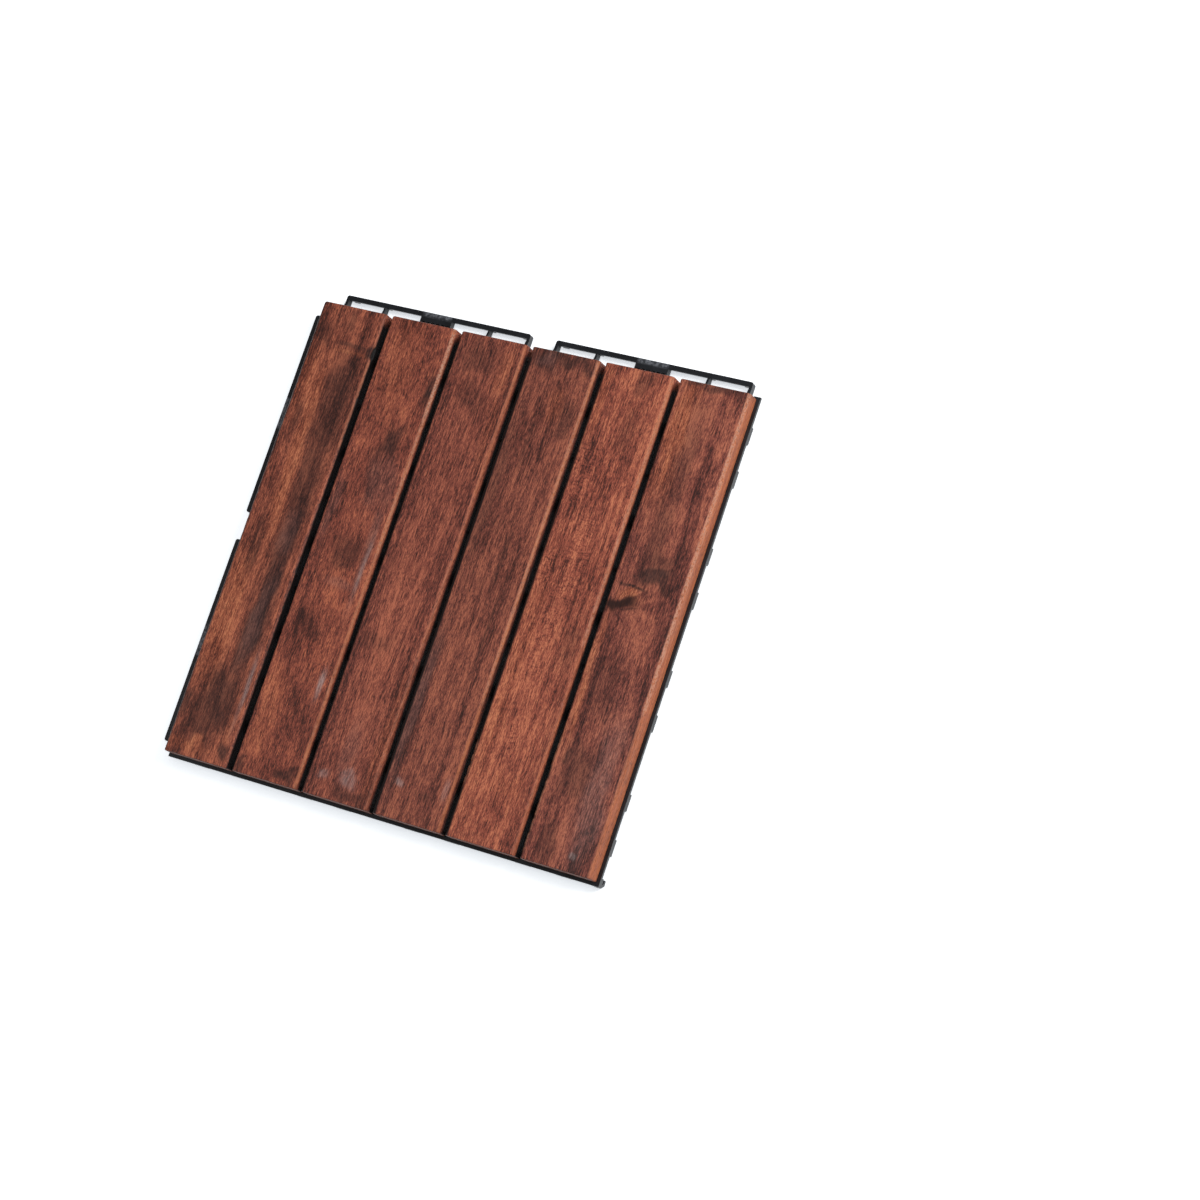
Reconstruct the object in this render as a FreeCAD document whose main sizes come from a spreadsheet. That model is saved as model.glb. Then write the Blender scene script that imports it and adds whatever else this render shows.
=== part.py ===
import FreeCAD, Part
import math
import os
import re
import Sketcher

# Interlocking deck tile: six hardwood slats screwed from below to a moulded plastic base.
# Millimetres. Origin at the middle of the tile on the plane of the feet, +X across the slats,
# +Y along them, +Z up. Snap loops stand out on the -X and +Y sides, snap tabs on +X and -Y.
SIZES = {
    # whole tile
    "tile_side": 300,
    "joint_gap": 4.8,
    "base_height": 10,
    # slats
    "slat_count": 6,
    "slat_thick": 10,
    "slat_gap": 3.6,
    "slat_arris": 2.2,
    "slat_end_arris": 0.8,
    # lattice under the slats
    "grid_depth": 3.5,
    "grid_wall": 1.8,
    "cells_along": 10,
    "rim_wall": 2.2,
    "rim_setback": 1.2,
    # feet
    "foot_diameter": 9,
    "foot_side_clearance": 0.5,
    # screws and the bosses that they pass through
    "boss_diameter": 10,
    "boss_depth": 4.5,
    "screw_diameter": 3,
    "screw_clearance": 0.05,
    "screw_bite": 7.5,
    "screw_point": 0.8,
    "screw_head_diameter": 7,
    "screw_head_height": 2.4,
    # snap loops
    "loop_length": 134.2,
    "loop_reach": 10.5,
    "loop_bar": 2.4,
    "loop_drop": 3.8,
    "loop_depth": 4.4,
    "loop_ledge": 0.3,
    "loop_skirt": 2,
    "loop_end_wall": 2,
    "loop_rib_wall": 1.4,
    "loop_corner": 1.5,
    "loop_gusset_rise": 2.1,
    "block_length": 22.2,
    "slot_count": 6,
    "slot_depth": 1.5,
    "slot_wall": 1.2,
    "ridge_reach": 0.8,
    "ridge_depth": 1.8,
    "stub_length": 4,
    "stub_inset": 3,
    # lip and snap tabs
    "lip_reach": 2.2,
    "lip_drop": 0.5,
    "lip_thick": 2,
    "lip_overrun": 1.5,
    "tab_length": 10,
    "tab_spread": 27.5,
    "tab_wall": 2.4,
    "tab_depth": 8.4,
    "tab_bevel": 0.8,
    "tab_straight": 4.1,
    "tab_slant": 1.9,
    "lug_length": 5.5,
    "snap_clearance": 0.4,
    "snap_play": 1,
}

# The small rounds that repeat under the tile are drawn with few sides
ROUND_SIDES = 8
SCREW_HEAD_SIDES = 12

# Lines of ribs, counted from the middle of the tile, that carry the feet and the screw bosses
FOOT_ROWS = (-4, -2, 0, 2, 4)
SCREW_ROWS = (-4, -1, 1, 4)

# Ends of edges this close to a plane lie on it
TOUCH = 1e-6

# Places worked out from the driving sizes
LAYING_PITCH = "(tile_side + joint_gap)"
EDGE = "(tile_side / 2)"
GRID_FLOOR = "(base_height - grid_depth)"
BOSS_FLOOR = "(base_height - boss_depth)"
RIM_OUTER = "(tile_side / 2 - rim_setback)"
RIM_INNER = "(tile_side / 2 - rim_setback - rim_wall)"
RIM_MIDDLE = "(tile_side / 2 - rim_setback - rim_wall / 2)"
SLAT_WIDTH = "((tile_side - (slat_count - 1) * slat_gap) / slat_count)"
SLAT_PITCH = "((tile_side + slat_gap) / slat_count)"
CELL_ALONG = "(tile_side / cells_along)"
SCREW_HOLE = "screw_diameter + 2 * screw_clearance"
LOOP_MIDDLE = "((tile_side + joint_gap) / 4)"
LOOP_RIB = "((tile_side + joint_gap) / 8)"
LOOP_TOP = "(base_height - loop_drop)"
LOOP_FLOOR = "(base_height - loop_drop - loop_depth)"
BAR_INNER = "(tile_side / 2 + loop_reach - loop_bar)"
LEDGE = "(tile_side / 2 + loop_ledge)"
LIP_EDGE = "(tile_side / 2 + lip_reach)"
LIP_TOP = "(base_height - lip_drop)"
LIP_FLOOR = "(base_height - lip_drop - lip_thick)"
TAB_FLOOR = "(base_height - tab_depth)"
BARB_TIP = "(tile_side / 2 + joint_gap - loop_reach + loop_bar + snap_clearance)"
BARB_TOP = "(base_height - loop_drop - ridge_depth - snap_play)"

doc = FreeCAD.newDocument("deck_tile")
sheet = doc.addObject("Spreadsheet::Sheet", "Sizes")
for row, (alias, size) in enumerate(SIZES.items(), start=1):
    sheet.set(f"A{row}", alias)
    sheet.set(f"B{row}", str(size))
    sheet.setAlias(f"B{row}", alias)
doc.recompute()


def on_sheet(formula):
    """The formula with every size name in it read from the sheet."""
    def cell(word):
        name = word.group()
        return f"Sizes.{name}" if name in SIZES else name
    return re.sub(r"[a-z]\w*", cell, formula)


def bind(thing, **formulas):
    """Ties properties of a feature to sizes; a double underscore stands for a dot."""
    for name, formula in formulas.items():
        thing.setExpression(name.replace("__", "."), on_sheet(formula))


def make_body(name):
    body = doc.addObject("PartDesign::Body", name)
    body.Label = name
    return body


def origin_part(body, role):
    return next(part for part in body.Origin.OriginFeatures if part.Role == role)


def make_sketch(body, name, plane, offset="0"):
    """Empty sketch on an origin plane of the body, moved along the plane's own normal."""
    sketch = body.newObject("Sketcher::SketchObject", name)
    sketch.AttachmentSupport = (origin_part(body, plane), [""])
    sketch.MapMode = "FlatFace"
    bind(sketch, AttachmentOffset__Base__z=offset)
    return sketch


def place_point(sketch, edge, corner, across, up):
    for kind, formula in (("DistanceX", across), ("DistanceY", up)):
        index = sketch.addConstraint(Sketcher.Constraint(kind, -1, 1, edge, corner, 1.0))
        sketch.setExpression(f"Constraints[{index}]", on_sheet(formula))


def draw_outline(sketch, corners):
    """Closed outline of straight edges; it starts as a regular polygon that the sizes pull into place."""
    first = sketch.GeometryCount
    count = len(corners)
    turns = [2 * math.pi * n / count for n in range(count)]
    starts = [FreeCAD.Vector(100 * math.cos(turn), 100 * math.sin(turn), 0) for turn in turns]
    for n in range(count):
        sketch.addGeometry(Part.LineSegment(starts[n], starts[(n + 1) % count]), False)
    for n, (across, up) in enumerate(corners):
        follower = first + (n + 1) % count
        sketch.addConstraint(Sketcher.Constraint("Coincident", first + n, 2, follower, 1))
        place_point(sketch, first + n, 1, across, up)


def draw_box(sketch, low_x, low_y, high_x, high_y):
    draw_outline(sketch, [(low_x, low_y), (high_x, low_y), (high_x, high_y), (low_x, high_y)])


def draw_round(sketch, across, up, diameter, sides=ROUND_SIDES):
    """Regular outline of few sides, as wide across its flats as the round that it stands for."""
    turn = 360 / sides
    radius = f"({diameter}) / (2 * cos({turn / 2} deg))"
    turns = [(n + 0.5) * turn for n in range(sides)]
    draw_outline(sketch, [
        (f"{across} + {radius} * cos({angle} deg)", f"{up} + {radius} * sin({angle} deg)")
        for angle in turns
    ])


def pad(body, sketch, length, both_ways=False):
    """Material raised from a sketch, along its normal or half to each side of it."""
    feature = body.newObject("PartDesign::Pad", sketch.Name + "Pad")
    feature.Profile = sketch
    feature.SideType = "Symmetric" if both_ways else "One side"
    bind(feature, Length=length)
    body.Tip = feature
    return feature


def cut(body, sketch, depth, upward=False):
    """Material taken away below a sketch, or above it."""
    feature = body.newObject("PartDesign::Pocket", sketch.Name + "Cut")
    feature.Profile = sketch
    feature.Reversed = upward
    bind(feature, Length=depth)
    body.Tip = feature
    return feature


def repeat(body, feature, axis, count, pitch):
    """Copies of a feature at an even pitch along an axis."""
    pattern = body.newObject("PartDesign::LinearPattern", feature.Name + "Row")
    pattern.Originals = [feature]
    pattern.Direction = (origin_part(body, axis), [""])
    pattern.Mode = "Spacing"
    bind(pattern, Occurrences=count, Offset=pitch)
    body.Tip = pattern
    return pattern


def ease(body, kind, feature, wanted, size):
    """Fillet or Chamfer on those edges of a feature that a test picks out."""
    doc.recompute()
    edges = [f"Edge{n}" for n, edge in enumerate(feature.Shape.Edges, start=1) if wanted(edge)]
    eased = body.newObject("PartDesign::" + kind, feature.Name + kind)
    eased.Base = (feature, edges)
    bind(eased, **{"Radius" if kind == "Fillet" else "Size": size})
    body.Tip = eased
    return eased


def lies_at(edge, axis, place):
    """Whether both ends of an edge lie at one place along an axis."""
    return all(abs(getattr(end, axis) - place) < TOUCH for end in edge.Vertexes)


def lies_above(edge, height):
    """Whether an edge reaches up past a height."""
    return edge.BoundBox.ZMax > height + TOUCH


def mirrored(thing, name, normal):
    """Mirror image of a whole piece across a plane through the origin."""
    twin = doc.addObject("Part::Mirroring", name)
    twin.Source = thing
    twin.Normal = FreeCAD.Vector(*normal)
    return twin


# Snap loop on the +Y side: a skirt hangs from the rim and carries a ladder of four openings,
# with a solid block in the middle. The neighbour's tabs pass down through the openings.
loop = make_body("snap_loop")
loop_low = f"({LOOP_MIDDLE} - loop_length / 2)"
loop_high = f"({LOOP_MIDDLE} + loop_length / 2)"
skirt = make_sketch(loop, "Skirt", "YZ_Plane", LOOP_MIDDLE)
draw_outline(skirt, [
    (RIM_INNER, GRID_FLOOR), (RIM_OUTER, GRID_FLOOR), (RIM_OUTER, LOOP_TOP),
    (LEDGE, LOOP_TOP), (LEDGE, LOOP_FLOOR), (f"{LEDGE} - loop_skirt", LOOP_FLOOR),
    (f"{LEDGE} - loop_skirt", f"{LOOP_TOP} - loop_skirt"), (RIM_INNER, f"{LOOP_TOP} - loop_skirt"),
])
pad(loop, skirt, "loop_length", both_ways=True)

ladder = make_sketch(loop, "Ladder", "XY_Plane", LOOP_FLOOR)
draw_box(ladder, loop_low, EDGE, loop_high, f"{EDGE} + loop_reach")
rib_low = f"({LOOP_MIDDLE} - {LOOP_RIB})"
rib_high = f"({LOOP_MIDDLE} + {LOOP_RIB})"
block_low = f"({LOOP_MIDDLE} - block_length / 2)"
block_high = f"({LOOP_MIDDLE} + block_length / 2)"
openings = [
    (f"{loop_low} + loop_end_wall", f"{rib_low} - loop_rib_wall / 2"),
    (f"{rib_low} + loop_rib_wall / 2", block_low),
    (block_high, f"{rib_high} - loop_rib_wall / 2"),
    (f"{rib_high} + loop_rib_wall / 2", f"{loop_high} - loop_end_wall"),
]
for low, high in openings:
    draw_box(ladder, low, LEDGE, high, BAR_INNER)
rungs = pad(loop, ladder, "loop_depth")
doc.recompute()
outermost = rungs.Shape.BoundBox.YMax
ends = (rungs.Shape.BoundBox.XMin, rungs.Shape.BoundBox.XMax)
ease(loop, "Fillet", rungs, lambda edge: lies_at(edge, "Y", outermost) and any(
    lies_at(edge, "X", end) for end in ends), "loop_corner")

# Ridge along the inside of the bar, which the neighbour's barbs catch under
ridge = make_sketch(loop, "Ridge", "YZ_Plane", LOOP_MIDDLE)
draw_outline(ridge, [
    (f"{BAR_INNER} - ridge_reach", LOOP_TOP), (f"{BAR_INNER} + loop_bar / 2", LOOP_TOP),
    (f"{BAR_INNER} + loop_bar / 2", f"{LOOP_TOP} - ridge_depth"),
    (BAR_INNER, f"{LOOP_TOP} - ridge_depth"),
    (f"{BAR_INNER} - ridge_reach", f"{LOOP_TOP} - ridge_depth + ridge_reach"),
])
pad(loop, ridge, "loop_length - 2 * loop_end_wall", both_ways=True)

# Gussets slope from the rim down over each end wall and each rib, and stop short of the
# neighbour's rim
gussets = [
    (f"{loop_low} + loop_end_wall / 2", "loop_end_wall"),
    (rib_low, "loop_rib_wall"),
    (rib_high, "loop_rib_wall"),
    (f"{loop_high} - loop_end_wall / 2", "loop_end_wall"),
]
for number, (place, wall) in enumerate(gussets, start=1):
    gusset = make_sketch(loop, f"Gusset{number}", "YZ_Plane", place)
    draw_outline(gusset, [
        (RIM_MIDDLE, f"{LOOP_TOP} - loop_depth / 2"),
        (f"{BAR_INNER} + loop_bar / 2", f"{LOOP_TOP} - loop_depth / 2"),
        (f"{BAR_INNER} + loop_bar / 2", LOOP_TOP), (f"{LAYING_PITCH} - {RIM_OUTER}", LOOP_TOP),
        (RIM_OUTER, f"{LOOP_TOP} + loop_gusset_rise"),
        (RIM_MIDDLE, f"{LOOP_TOP} + loop_gusset_rise"),
    ])
    pad(loop, gusset, wall, both_ways=True)

# Short stubs stand under the ends, the ribs and the block of the loop
stubs = make_sketch(loop, "Stubs", "XY_Plane")
stub_places = [
    (f"{loop_low} + stub_inset", f"{loop_low} + stub_inset + stub_length"),
    (f"{rib_low} - stub_length / 2", f"{rib_low} + stub_length / 2"),
    (f"{LOOP_MIDDLE} - stub_length", f"{LOOP_MIDDLE} + stub_length"),
    (f"{rib_high} - stub_length / 2", f"{rib_high} + stub_length / 2"),
    (f"{loop_high} - stub_inset - stub_length", f"{loop_high} - stub_inset"),
]
for low, high in stub_places:
    draw_box(stubs, low, BAR_INNER, high, f"{EDGE} + loop_reach - loop_corner")
pad(loop, stubs, LOOP_FLOOR)

# A row of shallow slots across the block, between the rim and its plain outer half
slots = make_sketch(loop, "BlockSlots", "XY_Plane", LOOP_TOP)
slot_count = int(sheet.slot_count)
slot_pitch = "(block_length - slot_wall) / slot_count"
for number in range(slot_count):
    slot_low = f"{block_low} + slot_wall + {number} * {slot_pitch}"
    draw_box(slots, slot_low, f"{LEDGE} + slot_wall", f"{slot_low} + {slot_pitch} - slot_wall",
             f"({LEDGE} + {BAR_INNER}) / 2")
cut(loop, slots, "slot_depth")

# Snap tabs on the +X side hang from a thin lip, a pair astride each of the neighbour's ribs.
# The barb at the foot of a tab catches under the ridge of the neighbour's loop.
tabs = make_body("snap_tabs")
lip = make_sketch(tabs, "Lip", "XY_Plane", LIP_FLOOR)
draw_box(lip, RIM_MIDDLE, f"-{LIP_EDGE}", LIP_EDGE, f"{EDGE} + lip_overrun")
pad(tabs, lip, "lip_thick")


def snap_tab(name, middle, length):
    """Stem flush with the edge of the lip, with a barb turned inward at its slanted foot."""
    stem = make_sketch(tabs, name, "XZ_Plane", middle)
    draw_outline(stem, [
        (f"{LIP_EDGE} - tab_wall", LIP_TOP), (f"{LIP_EDGE} - tab_wall", f"{BARB_TOP} + tab_bevel"),
        (BARB_TIP, BARB_TOP), (BARB_TIP, f"{TAB_FLOOR} + tab_bevel"),
        (f"{BARB_TIP} + tab_bevel", TAB_FLOOR), (f"{LIP_EDGE} - tab_slant", TAB_FLOOR),
        (LIP_EDGE, f"{LIP_TOP} - tab_straight"), (LIP_EDGE, LIP_TOP),
    ])
    return pad(tabs, stem, length, both_ways=True)


# The XZ plane's own normal is -Y, so a place along +Y is an offset of the other sign.
for name, side in (("OuterTab", "+"), ("InnerTab", "-")):
    tab = snap_tab(name, f"3 * {LOOP_RIB} {side} tab_spread / 2", "tab_length")
    repeat(tabs, tab, "Y_Axis", "4", f"2 * {LOOP_RIB}")
snap_tab("Lug", f"{LIP_EDGE} - lug_length / 2", "lug_length")

# Lattice: a square rim, then the feet, in lines under the gaps and in a column inside each edge,
# clear of the neighbour's loops, which reach in under the edge of this tile
lattice = make_body("lattice")
rim = make_sketch(lattice, "Rim", "XY_Plane", GRID_FLOOR)
draw_box(rim, f"-{RIM_OUTER}", f"-{RIM_OUTER}", RIM_OUTER, RIM_OUTER)
draw_box(rim, f"-{RIM_INNER}", f"-{RIM_INNER}", RIM_INNER, RIM_INNER)
pad(lattice, rim, "grid_depth")
side_foot = f"({BARB_TIP} - snap_clearance - loop_bar - foot_side_clearance - foot_diameter / 2)"
feet = make_sketch(lattice, "Feet", "XY_Plane")
side_feet = make_sketch(lattice, "SideFeet", "XY_Plane")
for number in FOOT_ROWS:
    draw_round(feet, f"{SLAT_PITCH} - {EDGE} - slat_gap / 2", f"{number} * {CELL_ALONG}", "foot_diameter")
    draw_round(side_feet, f"-{side_foot}", f"{number} * {CELL_ALONG}", "foot_diameter")
repeat(lattice, pad(lattice, feet, GRID_FLOOR), "X_Axis", "slat_count - 1", SLAT_PITCH)
repeat(lattice, pad(lattice, side_feet, GRID_FLOOR), "X_Axis", "2", f"2 * {side_foot}")

# Screw bosses: four under each slat, a cell and a rib in from its ends and beside its middle
bosses = make_sketch(lattice, "Bosses", "XY_Plane", BOSS_FLOOR)
boss_holes = make_sketch(lattice, "BossHoles", "XY_Plane", BOSS_FLOOR)
for number in SCREW_ROWS:
    draw_round(bosses, f"{SLAT_WIDTH} / 2 - {EDGE}", f"{number} * {CELL_ALONG}", "boss_diameter")
    draw_round(boss_holes, f"{SLAT_WIDTH} / 2 - {EDGE}", f"{number} * {CELL_ALONG}", SCREW_HOLE)
repeat(lattice, pad(lattice, bosses, "boss_depth"), "X_Axis", "slat_count", SLAT_PITCH)

# Lines of ribs under each slat's middle and under each gap, and lines of ribs across them, join
# the rim, the feet and the bosses. The screw holes are cut last, through the ribs as well.
rib_along = make_sketch(lattice, "RibAlong", "XY_Plane", GRID_FLOOR)
first_line = f"({SLAT_PITCH} / 2 - {EDGE} - slat_gap / 2)"
draw_box(rib_along, f"{first_line} - grid_wall / 2", f"-{RIM_MIDDLE}",
         f"{first_line} + grid_wall / 2", RIM_MIDDLE)
repeat(lattice, pad(lattice, rib_along, "grid_depth"), "X_Axis", "2 * slat_count - 1",
       f"{SLAT_PITCH} / 2")
rib_across = make_sketch(lattice, "RibAcross", "XY_Plane", GRID_FLOOR)
first_row = f"({CELL_ALONG} - {EDGE})"
draw_box(rib_across, f"-{RIM_MIDDLE}", f"{first_row} - grid_wall / 2",
         RIM_MIDDLE, f"{first_row} + grid_wall / 2")
repeat(lattice, pad(lattice, rib_across, "grid_depth"), "Y_Axis", "cells_along - 1", CELL_ALONG)
repeat(lattice, cut(lattice, boss_holes, "boss_depth", upward=True), "X_Axis", "slat_count", SLAT_PITCH)

# The -X and -Y sides mirror the +Y and +X sides across the diagonal, and all of it is one moulding.
ACROSS_X = (1, 0, 0)
ACROSS_DIAGONAL = (1, 1, 0)
second_loop = mirrored(loop, "second_loop", ACROSS_X)
base = doc.addObject("Part::MultiFuse", "base_grid")
base.Shapes = [
    lattice, loop, second_loop, tabs,
    mirrored(loop, "third_loop", ACROSS_DIAGONAL),
    mirrored(second_loop, "fourth_loop", ACROSS_DIAGONAL),
    mirrored(tabs, "second_tabs", ACROSS_DIAGONAL),
]
base.Refine = True
base.Label = "base_grid"

# Slats: planed hardwood with eased arrises, lying on the lattice with a gap between them
slats = []
for number in range(int(sheet.slat_count)):
    name = f"slat_{number + 1}"
    slat = make_body(name)
    bind(slat, Placement__Base__x=f"{number} * {SLAT_PITCH} - {EDGE} + {SLAT_WIDTH} / 2",
         Placement__Base__z="base_height")
    blank = make_sketch(slat, name + "_blank", "XY_Plane")
    draw_box(blank, f"-{SLAT_WIDTH} / 2", f"-{EDGE}", f"{SLAT_WIDTH} / 2", EDGE)
    plank = pad(slat, blank, "slat_thick")
    doc.recompute()
    top = plank.Shape.BoundBox.ZMax
    end = plank.Shape.BoundBox.YMax
    rounded = ease(slat, "Fillet", plank, lambda edge: lies_at(edge, "Z", top) and not (
        lies_at(edge, "Y", end) or lies_at(edge, "Y", -end)), "slat_arris")
    ease(slat, "Chamfer", rounded, lambda edge: (
        lies_at(edge, "Y", end) or lies_at(edge, "Y", -end)) and lies_above(edge, top / 2), "slat_end_arris")
    pilots = make_sketch(slat, name + "_pilots", "XY_Plane")
    for row in SCREW_ROWS:
        draw_round(pilots, "0", f"{row} * {CELL_ALONG}", SCREW_HOLE)
    cut(slat, pilots, "screw_bite + screw_clearance", upward=True)
    slats.append(slat)

# Screws: pan head under the boss, plain shank up into the slat. All of them are alike.
screw = make_body("screw")
head = make_sketch(screw, "ScrewHead", "XY_Plane", f"{BOSS_FLOOR} - screw_head_height")
draw_round(head, "0", "0", "screw_head_diameter", SCREW_HEAD_SIDES)
disc = pad(screw, head, "screw_head_height")
doc.recompute()
underside = disc.Shape.BoundBox.ZMin
ease(screw, "Chamfer", disc, lambda edge: lies_at(edge, "Z", underside), "screw_head_height / 3")
shank = make_sketch(screw, "ScrewShank", "XY_Plane", f"{BOSS_FLOOR} - screw_head_height / 2")
draw_round(shank, "0", "0", "screw_diameter")
stem = pad(screw, shank, "screw_head_height / 2 + boss_depth + screw_bite")
doc.recompute()
point = stem.Shape.BoundBox.ZMax
ease(screw, "Chamfer", stem, lambda edge: lies_at(edge, "Z", point), "screw_point")
doc.recompute()
cell_along = sheet.tile_side / sheet.cells_along
screws = doc.addObject("Part::Feature", "slat_screws")
screws.Shape = Part.makeCompound([
    screw.Shape.translated(FreeCAD.Vector(slat.Placement.Base.x, row * cell_along, 0))
    for slat in slats for row in SCREW_ROWS
])
screws.Label = "slat_screws"
doc.recompute()

for thing in doc.Objects:
    if "Invalid" in thing.State or "Error" in thing.State:
        raise RuntimeError(f"{thing.Name} failed: {thing.State}")
    if thing.TypeId == "PartDesign::Pocket" and thing.Shape.Volume >= thing.BaseFeature.Shape.Volume:
        raise RuntimeError(f"{thing.Name} takes nothing away")
pieces = [base, *slats, screws]
for piece in pieces:
    if piece.Shape.isNull() or not piece.Shape.isValid():
        raise RuntimeError(f"{piece.Label} has no valid shape")
if len(base.Shape.Solids) != 1:
    raise RuntimeError("the base is not one moulding")
os.makedirs("parts", exist_ok=True)
for piece in pieces:
    piece.Shape.exportStep(f"parts/{piece.Label}.step")
    print(piece.Label, len(piece.Shape.Solids), round(piece.Shape.Volume), piece.Shape.BoundBox)
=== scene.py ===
import math

import bpy
import numpy as np
from mathutils import Matrix, Vector


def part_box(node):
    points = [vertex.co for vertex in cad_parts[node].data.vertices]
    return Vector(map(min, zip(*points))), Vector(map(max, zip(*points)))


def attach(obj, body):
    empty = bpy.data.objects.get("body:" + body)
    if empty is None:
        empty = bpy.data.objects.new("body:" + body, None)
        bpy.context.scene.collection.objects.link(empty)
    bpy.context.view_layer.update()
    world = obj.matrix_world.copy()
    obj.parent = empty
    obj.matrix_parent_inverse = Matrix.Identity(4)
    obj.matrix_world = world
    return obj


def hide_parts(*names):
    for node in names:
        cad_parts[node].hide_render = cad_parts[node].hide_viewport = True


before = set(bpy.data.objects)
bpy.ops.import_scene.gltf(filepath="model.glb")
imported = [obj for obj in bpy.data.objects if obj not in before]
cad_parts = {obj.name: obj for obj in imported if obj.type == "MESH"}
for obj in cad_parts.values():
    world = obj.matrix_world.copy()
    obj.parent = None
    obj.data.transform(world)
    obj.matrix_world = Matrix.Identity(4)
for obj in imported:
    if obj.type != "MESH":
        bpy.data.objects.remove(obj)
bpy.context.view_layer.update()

# Base: one injection-moulded piece of black polypropylene. A lattice under the slats carries
# them, and its snap loops and snap tabs stand out at the edges. It keeps its CAD solid.
MM = 0.001
ETCH_GRAIN = 0.9 * MM
ETCH_DEPTH = 0.02 * MM
GLOSS_CLOUD = 14 * MM
MOULD_ROUND = 0.25 * MM
BLOCK_MIDDLE = 76.2 * MM
BLOCK_HALF = 11.1 * MM
BLOCK_FADE = 1.5 * MM
SCUFF_HIGHLIGHT_REACH = 3.7 * MM
SCUFF_HIGHLIGHT_FADE = 1.8 * MM
SCUFF_HIGHLIGHT_CLOUD = 1.8 * MM
FACTOR, UNDER, OVER = 0, 6, 7        # sockets of a Mix node that mixes colours


def linear(hex_colour):
    """Linear colour of an sRGB hex value: the standard curve, a line below 0.04045 and a power above."""
    channels = np.array([int(hex_colour[i:i + 2], 16) / 255 for i in (1, 3, 5)])
    curve = np.where(channels <= 0.04045, channels / 12.92, ((channels + 0.055) / 1.055) ** 2.4)
    return (*curve.tolist(), 1.0)


def add(tree, kind, inputs=(), **settings):
    """A shader node: its settings first, then its inputs, in order or by name. An input is a value, a
    hex colour, an output of another node, or another node, which gives its first output in use. Stops
    are the places and hex colours of a colour ramp."""
    new = tree.nodes.new("ShaderNode" + kind)
    for name, value in settings.items():
        if name == "stops":
            ramp = new.color_ramp
            while len(ramp.elements) < len(value):
                ramp.elements.new(0.5)
            for element, (place, colour) in zip(ramp.elements, value):
                element.position = place
                element.color = linear(colour)
        else:
            setattr(new, name, value)
    for socket, value in (inputs.items() if isinstance(inputs, dict) else enumerate(inputs)):
        if isinstance(value, bpy.types.Node):
            value = next(output for output in value.outputs if output.enabled)
        if isinstance(value, bpy.types.NodeSocket):
            tree.links.new(value, new.inputs[socket])
        else:
            new.inputs[socket].default_value = linear(value) if isinstance(value, str) else value
    return new


def start_material(name):
    """An empty material and its node tree."""
    material = bpy.data.materials.new(name)
    material.use_nodes = True
    material.node_tree.nodes.clear()
    return material, material.node_tree


# Black polypropylene from a lightly etched mould: a soft sheen, finely grained, with the small
# round on every edge that the tool leaves. The etching is some 0.1 mm fine, and is drawn at 0.9 mm
# so that it shows. The solid blocks in the middle of the loops are painted pale on their outer part:
# partly scuffs, partly a painted highlight on their glossy tops.
plastic, tree = start_material("moulded_black_polypropylene")
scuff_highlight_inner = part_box("base_grid")[1][1] - SCUFF_HIGHLIGHT_REACH
coords = add(tree, "TexCoord").outputs["Object"]
etching = add(tree, "TexNoise", {"Vector": coords, "Scale": 1 / ETCH_GRAIN, "Detail": 3.0})
flow = add(tree, "TexNoise", {"Vector": coords, "Scale": 1 / GLOSS_CLOUD, "Detail": 4.0})
black = add(tree, "ValToRGB", [flow], stops=[(0.35, "#0e1014"), (0.7, "#181b21")])
at = add(tree, "SeparateXYZ", [coords]).outputs
to_left = add(tree, "Math", (at["X"], -1.0), operation="MULTIPLY")
outward = add(tree, "Math", (at["Y"], to_left), operation="MAXIMUM")
off_x = add(tree, "Math", [at["X"]], operation="ABSOLUTE")
off_y = add(tree, "Math", [at["Y"]], operation="ABSOLUTE")
sideways = add(tree, "Math", (off_x, off_y), operation="MINIMUM")
off_block = add(tree, "Math", (sideways, BLOCK_MIDDLE), operation="SUBTRACT")
off_block = add(tree, "Math", [off_block], operation="ABSOLUTE")
on_block = add(tree, "MapRange", (off_block, BLOCK_HALF, BLOCK_HALF - BLOCK_FADE))
near_edge = add(tree, "MapRange", (outward, scuff_highlight_inner, scuff_highlight_inner + SCUFF_HIGHLIGHT_FADE))
rubs_and_glints = add(tree, "TexNoise", {"Vector": coords, "Scale": 1 / SCUFF_HIGHLIGHT_CLOUD, "Detail": 3.0})
rubs_and_glints = add(tree, "MapRange", (rubs_and_glints, 0.4, 0.66, 0.1, 0.6))
scuff_and_highlight = add(tree, "Math", (on_block, near_edge), operation="MULTIPLY")
scuff_and_highlight = add(tree, "Math", (scuff_and_highlight, rubs_and_glints), operation="MULTIPLY")
# Pale scuffs and a painted highlight on the outer part of the loop blocks.
black = add(tree, "Mix", {FACTOR: scuff_and_highlight, UNDER: black, OVER: "#8f939b"}, data_type="RGBA")
rounded = add(tree, "Bevel", {"Radius": MOULD_ROUND}, samples=6)
etched = add(tree, "Bump", {"Height": etching, "Distance": ETCH_DEPTH, "Strength": 0.5, "Normal": rounded})
shader = add(tree, "BsdfPrincipled", {
    "Base Color": black, "Roughness": add(tree, "MapRange", (flow, 0.3, 0.7, 0.3, 0.44)),
    "IOR": 1.49, "Specular IOR Level": 0.5, "Normal": etched})
add(tree, "OutputMaterial", [shader])
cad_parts["base_grid"].material_slots[0].material = plastic

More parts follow.
